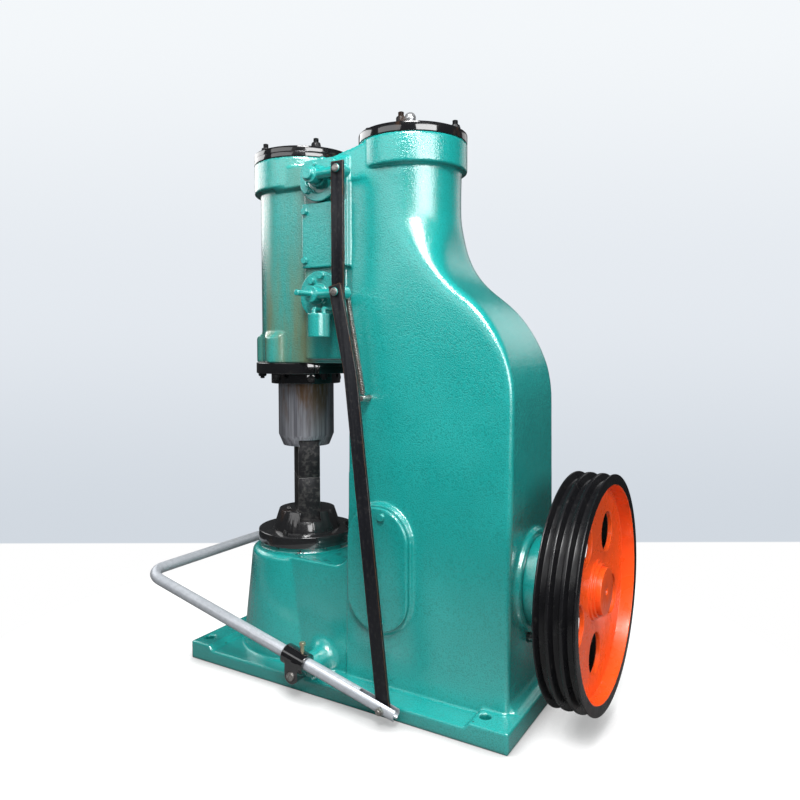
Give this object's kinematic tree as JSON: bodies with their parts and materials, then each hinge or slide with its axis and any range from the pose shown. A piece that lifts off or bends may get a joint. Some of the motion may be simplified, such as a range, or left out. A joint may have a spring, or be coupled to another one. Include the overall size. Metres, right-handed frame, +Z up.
{
  "type": "pneumatic forging hammer",
  "caption": "One-piece cast pneumatic forging hammer: a ram and dies over an anvil in front, valve gear worked by a foot treadle, and a grooved belt pulley behind.",
  "frame": {"origin": "the centre of the base plate's underside", "axes": "+Z up, +X from the ram to the belt pulley at the back, -Y the side with the valve gear"},
  "size_m": [1.077, 0.488, 1.222],
  "materials": {
    "green_enamel": "glossy blue-green hammer-finish enamel on cast iron",
    "black_enamel": "glossy black enamel",
    "forged_steel": "dark scaled forged steel",
    "ground_steel": "turned and ground steel with a brown oil stain",
    "black_bar": "black painted flat bar with worn edges",
    "zinc_tube": "galvanised tube",
    "spring_steel": "oiled spring wire",
    "orange_enamel": "orange enamel, black on the rim"
  },
  "bodies": {
    "frame": {"frame_casting": "green_enamel", "compressor_cylinder_head": "black_enamel", "breather_cap": "black_enamel", "working_cylinder_gasket": "black_enamel", "working_cylinder_head": "black_enamel", "gland_flange": "black_enamel", "gland_collar": "black_enamel", "anvil_ring": "black_enamel", "anvil_cap": "black_enamel", "lower_die": "forged_steel", "valve_chest_cover": "green_enamel", "far_chest_cover": "green_enamel", "upper_valve_cover": "green_enamel", "lower_valve_cover": "green_enamel", "far_upper_valve_cover": "green_enamel", "far_lower_valve_cover": "green_enamel", "crank_cover": "green_enamel", "far_crank_cover": "green_enamel", "main_bearing_cap": "green_enamel", "drain_plug": "black_enamel", "oil_cup": "green_enamel", "spring_post": "green_enamel", "return_spring": "spring_steel"},
    "ram": {"ram": "ground_steel", "upper_die": "forged_steel"},
    "pulley": {"belt_pulley": "orange_enamel", "crankshaft": "orange_enamel"},
    "treadle": {"treadle_tube": "zinc_tube", "treadle_shaft": "ground_steel", "treadle_clamp": "black_enamel", "far_treadle_clamp": "black_enamel", "foot_bolt": "zinc_tube"},
    "upper_lever": {"upper_valve_lever": "green_enamel"},
    "lower_lever": {"lower_valve_lever": "green_enamel"},
    "upper_link": {"upper_link": "black_bar"},
    "lower_link": {"lower_link": "black_bar"}
  },
  "joints": [
    {"name": "ram_stroke", "type": "slide", "parent": "frame", "child": "ram", "axis": [0, 0, 1], "range_m": [0, 0.2]},
    {"name": "pulley_spin", "type": "hinge", "parent": "frame", "child": "pulley", "pos_m": [0.46, 0, 0.267], "axis": [1, 0, 0], "continuous": true},
    {"name": "treadle_press", "type": "hinge", "parent": "frame", "child": "treadle", "pos_m": [-0.062, 0, 0.054], "axis": [0, -1, 0], "range_deg": [0, 12], "stiffness_Nm_per_rad": 40, "springref_deg": -22.92},
    {"name": "lower_valve_turn", "type": "hinge", "parent": "frame", "child": "lower_lever", "pos_m": [-0.062, -0.15, 0.855], "axis": [0, -1, 0], "range_deg": [0, 34], "deforming": ["return_spring"]},
    {"name": "upper_valve_turn", "type": "hinge", "parent": "frame", "child": "upper_lever", "pos_m": [-0.062, -0.15, 1.108], "axis": [0, -1, 0], "range_deg": [0, 34]},
    {"name": "upper_link_swing", "type": "hinge", "parent": "lower_lever", "child": "upper_link", "pos_m": [0.015, -0.168, 0.855], "axis": [0, -1, 0], "range_deg": [-34, 0]},
    {"name": "lower_link_swing", "type": "hinge", "parent": "lower_lever", "child": "lower_link", "pos_m": [0.015, -0.176, 0.855], "axis": [0, -1, 0], "range_deg": [-34, 0]}
  ],
  "couplings": [
    {"joint": "lower_valve_turn", "follows": "treadle_press", "ratio": 2.79},
    {"joint": "upper_valve_turn", "follows": "treadle_press", "ratio": 2.79},
    {"joint": "upper_link_swing", "follows": "treadle_press", "ratio": -2.79},
    {"joint": "lower_link_swing", "follows": "treadle_press", "ratio": -2.726}
  ]
}
